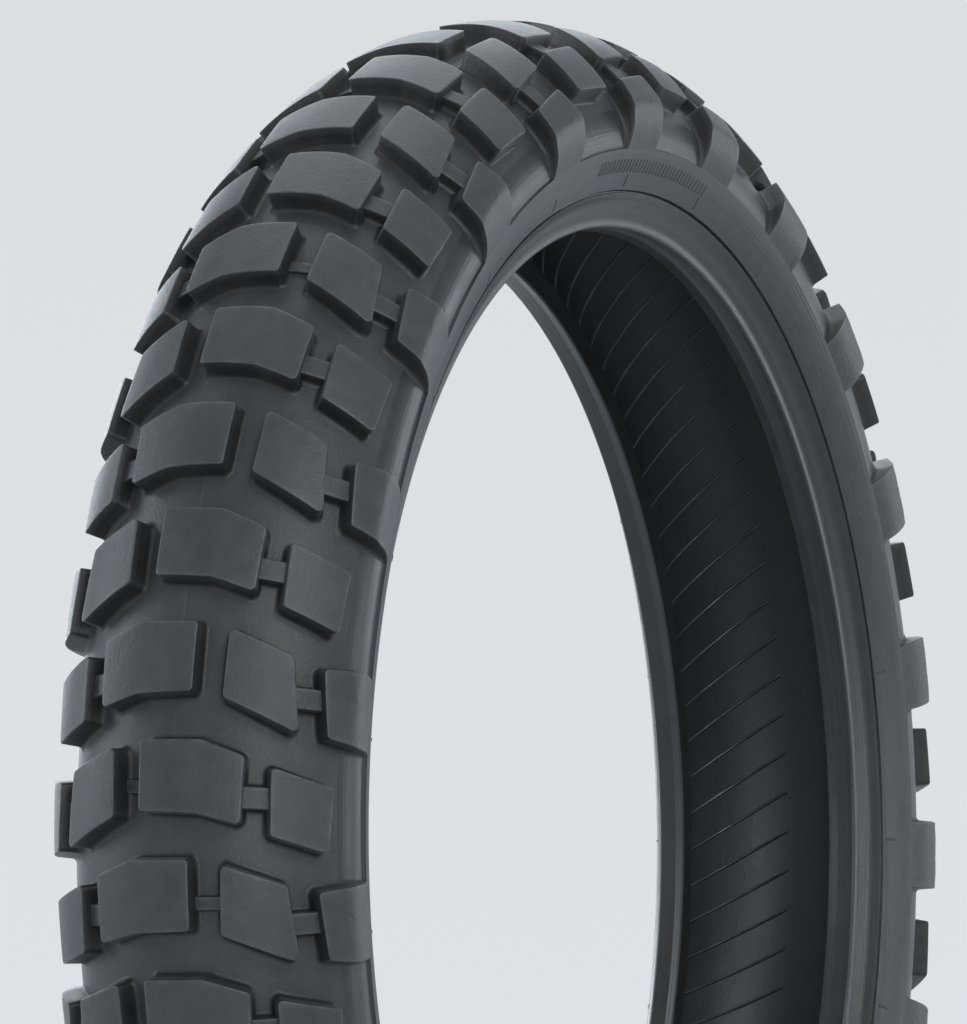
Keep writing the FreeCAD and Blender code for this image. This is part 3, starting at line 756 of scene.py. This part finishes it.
# ---- inner liner ------------------------------------------------------------------------
def add_ribs(shape, side):
    """Slanting vent ribs from beside the crown's middle to past the shoulder."""
    line = np.array(liner_curve(LINER_INNER))
    lengths = run_lengths(line)
    stations = np.linspace(RIB_START, RIB_END, RIB_STATIONS)
    y = np.interp(stations, lengths, line[:, 0])
    r = np.interp(stations, lengths, line[:, 1])
    before = np.stack([np.interp(stations - 0.5, lengths, line[:, k]) for k in (0, 1)], -1)
    after = np.stack([np.interp(stations + 0.5, lengths, line[:, k]) for k in (0, 1)], -1)
    along = after - before
    along /= np.linalg.norm(along, axis=1)[:, None]
    inward = np.stack([along[:, 1], -along[:, 0]], -1)
    fade = np.clip((RIB_END - stations) / RIB_FADE, 0, 1)
    fade = np.minimum(fade, np.clip((stations - RIB_START + 0.6) / 1.2, 0, 1))
    lean = np.radians(RIB_LEAN) * (stations - RIB_START)
    count = len(RIB_CROSS)
    for k in range(RIBS):
        theta = math.radians(FIRST_ROW + 360 * k / RIBS) + lean
        points = []
        for across, height in RIB_CROSS:
            lift = np.where(height > 0, height * (0.25 + 0.75 * fade), height)
            py = (y + inward[:, 0] * lift) * side
            pr = r + inward[:, 1] * lift
            points.append(on_wheel(py, pr, theta + across / LINER_RADIUS))
        points = np.stack(points, 1)
        faces = []
        for i in range(len(stations) - 1):
            for j in range(count - 1):
                a = i * count + j
                faces.append((a, a + 1, a + count + 1, a + count))
            a = i * count
            faces.append((a + count - 1, a, a + count, a + 2 * count - 1))
        faces.append(tuple(range(count))[::-1])
        end = (len(stations) - 1) * count
        faces.append(tuple(end + j for j in range(count)))
        if side < 0:
            faces = [face[::-1] for face in faces]
        shape.add(points.reshape(-1, 3), faces, np.tile(RIB_PAINTED_LIGHT, len(stations)))


shape = Shape()
liner_section = full_section(liner_curve(LINER_OUTER), liner_curve(LINER_INNER))
add_ring(shape, liner_section, LINER_SEGMENTS)
add_ribs(shape, 1)
add_ribs(shape, -1)
new_piece("inner_liner", shape, LINER)

# ---- tread blocks, ties and wear bars -----------------------------------------------------
for node, (outline, radii, profile, keep, late) in PATTERN.items():
    for name, side in (("left", 1), ("right", -1)):
        shape = Shape()
        shift = 0.5 * (late if side > 0 else 1 - late)
        for step in range(PITCHES):
            place = tread_place(side, row_angle(step + shift))
            add_block(shape, outline, radii, profile, place, 5, keep)
        new_piece(node + "_" + name, shape, TREAD)

shape = Shape()
wear_profile = block_profile(WEAR_BAR_HEIGHT, 0.7, 0.3)
for step in range(PITCHES - 1, -1, -WEAR_BAR_EVERY):
    add_block(shape, WEAR_BAR, (0.4,) * 4, wear_profile, tread_place(1, row_angle(step + 0.5)), 3)
for step in range(0, PITCHES, WEAR_BAR_EVERY):
    add_block(shape, WEAR_BAR, (0.4,) * 4, wear_profile, tread_place(-1, row_angle(step)), 3)
new_piece("wear_bars", shape, TREAD)

# ---- floor, light and camera --------------------------------------------------------------
FLOOR_RADIUS = 14.0           # metres, as are the lights' places and the camera's
FLOOR_SIDES = 96

floor_mesh = bpy.data.meshes.new("floor")
floor_level = -OUTER_RADIUS / 1000
ring = [(FLOOR_RADIUS * math.cos(a), FLOOR_RADIUS * math.sin(a), floor_level)
        for a in np.linspace(0, 2 * math.pi, FLOOR_SIDES + 1)[:-1]]
floor_mesh.from_pydata(ring, [], [tuple(range(FLOOR_SIDES))])
floor = bpy.data.objects.new("floor", floor_mesh)
bpy.context.scene.collection.objects.link(floor)
n = Nodes("pale_floor")
n.set("Base Color", n.mix(n.noise(n.place(), 2.0), colour(0.60, 0.61, 0.62), colour(0.64, 0.65, 0.66)))
n.set("Roughness", 0.9)
reach = n.add("ShaderNodeVectorMath", {0: n.place()}, operation="LENGTH").outputs["Value"]
n.set("Emission Color", colour(0.97, 0.98, 1.0))
n.set("Emission Strength", n.remap(reach, 2.2, 4.4, 0.0, 0.34))
floor_mesh.materials.append(n.material)

world = bpy.data.worlds.new("studio")
bpy.context.scene.world = world
world.use_nodes = True
tree = world.node_tree
background = tree.nodes["Background"]
coordinates = tree.nodes.new("ShaderNodeTexCoord")
split = tree.nodes.new("ShaderNodeSeparateXYZ")
ramp = tree.nodes.new("ShaderNodeValToRGB")
tree.links.new(coordinates.outputs["Generated"], split.inputs[0])
lift = tree.nodes.new("ShaderNodeMapRange")
lift.inputs["From Min"].default_value = -1.0
lift.inputs["From Max"].default_value = 1.0
tree.links.new(split.outputs["Z"], lift.inputs["Value"])
tree.links.new(lift.outputs["Result"], ramp.inputs["Fac"])
tree.links.new(ramp.outputs["Color"], background.inputs["Color"])
stops = ramp.color_ramp.elements
stops[0].position = 0.46
stops[0].color = (0.60, 0.61, 0.62, 1)
stops[1].position = 0.50
stops[1].color = (0.74, 0.76, 0.78, 1)
for position, value in ((0.58, 0.72), (0.70, 0.46), (1.0, 0.46)):
    stop = stops.new(position)
    stop.color = (value * 0.98, value, value * 1.02, 1)
background.inputs["Strength"].default_value = 1.0


def softbox(name, spot, target, size, power, tint):
    """A soft light that the camera doesn't see: it lights, and shows in what is glossy."""
    light = bpy.data.lights.new(name, "AREA")
    light.shape = "RECTANGLE"
    light.size = size[0]
    light.size_y = size[1]
    light.energy = power
    light.color = tint
    lamp = bpy.data.objects.new(name, light)
    bpy.context.scene.collection.objects.link(lamp)
    lamp.visible_camera = False
    aim = (Vector(target) - Vector(spot)).to_track_quat("-Z", "Y").to_matrix().to_4x4()
    lamp.matrix_world = Matrix.Translation(spot) @ aim


# Name, place, where it aims, its two sides, power in watts, tint.
SOFTBOXES = [
    ("overhead", (-0.6, -0.4, 2.7), (0.0, 0.0, 0.1), (2.2, 2.0), 21, (0.93, 0.97, 1.0)),
    ("key_right", (2.4, 2.6, 2.0), (0.0, 0.0, 0.0), (1.3, 1.3), 35, (0.97, 0.99, 1.0)),
    ("back_left", (-2.3, -1.3, 1.8), (0.0, 0.0, 0.2), (1.6, 1.2), 17, (0.90, 0.95, 1.0)),
    ("rim_left", (-2.0, -2.1, 0.7), (0.0, 0.0, 0.1), (1.4, 1.2), 22, (0.88, 0.94, 1.0)),
    ("side_left", (0.8, -3.0, 1.0), (0.0, 0.0, 0.1), (1.2, 2.0), 26, (0.88, 0.94, 1.0)),
    ("side_right", (-1.0, 3.1, 0.1), (0.0, 0.0, 0.0), (0.4, 1.2), 10, (0.95, 0.98, 1.0)),
    ("back_right", (-2.8, 2.0, 0.6), (0.2, 0.0, 0.0), (0.5, 1.0), 10, (0.90, 0.95, 1.0)),
    ("front_fill", (3.4, 1.9, 0.1), (0.0, 0.0, 0.0), (1.2, 1.0), 19, (0.97, 0.99, 1.0)),
]
for box in SOFTBOXES:
    softbox(*box)

# The camera stands at an azimuth from +Y towards +X and an elevation, in degrees, as seen from
# the wheel's centre. It aims at the centre, then turns by a small yaw, pitch and roll.
DISTANCE = 3.79
AZIMUTH = math.radians(65.94)
ELEVATION = math.radians(-1.744)
YAW = math.radians(-0.252)
PITCH = math.radians(1.959)
ROLL = math.radians(0.473)
LENS = 335.0                  # millimetres, on a sensor 36 mm wide
SENSOR = 36.0

level = math.cos(ELEVATION)
outwards = Vector((math.sin(AZIMUTH) * level, math.cos(AZIMUTH) * level, math.sin(ELEVATION)))
stand = outwards * DISTANCE
ahead = -outwards.normalized()
right = ahead.cross(Vector((0, 0, 1))).normalized()
up = right.cross(ahead)
look = (ahead * math.cos(YAW) * math.cos(PITCH) + right * math.sin(YAW) * math.cos(PITCH)
        + up * math.sin(PITCH)).normalized()
right = look.cross(up).normalized()
up = right.cross(look)
x_axis = right * math.cos(ROLL) + up * math.sin(ROLL)
y_axis = up * math.cos(ROLL) - right * math.sin(ROLL)
camera_data = bpy.data.cameras.new("camera")
camera_data.lens = LENS
camera_data.sensor_width = SENSOR
camera_data.sensor_fit = "AUTO"
camera_data.clip_start = 0.05
camera_data.clip_end = 60.0
camera = bpy.data.objects.new("camera", camera_data)
bpy.context.scene.collection.objects.link(camera)
turned_to = Matrix((x_axis, y_axis, -look)).transposed().to_4x4()
camera.matrix_world = Matrix.Translation(stand) @ turned_to
bpy.context.scene.camera = camera
bpy.context.scene.view_settings.view_transform = "Standard"
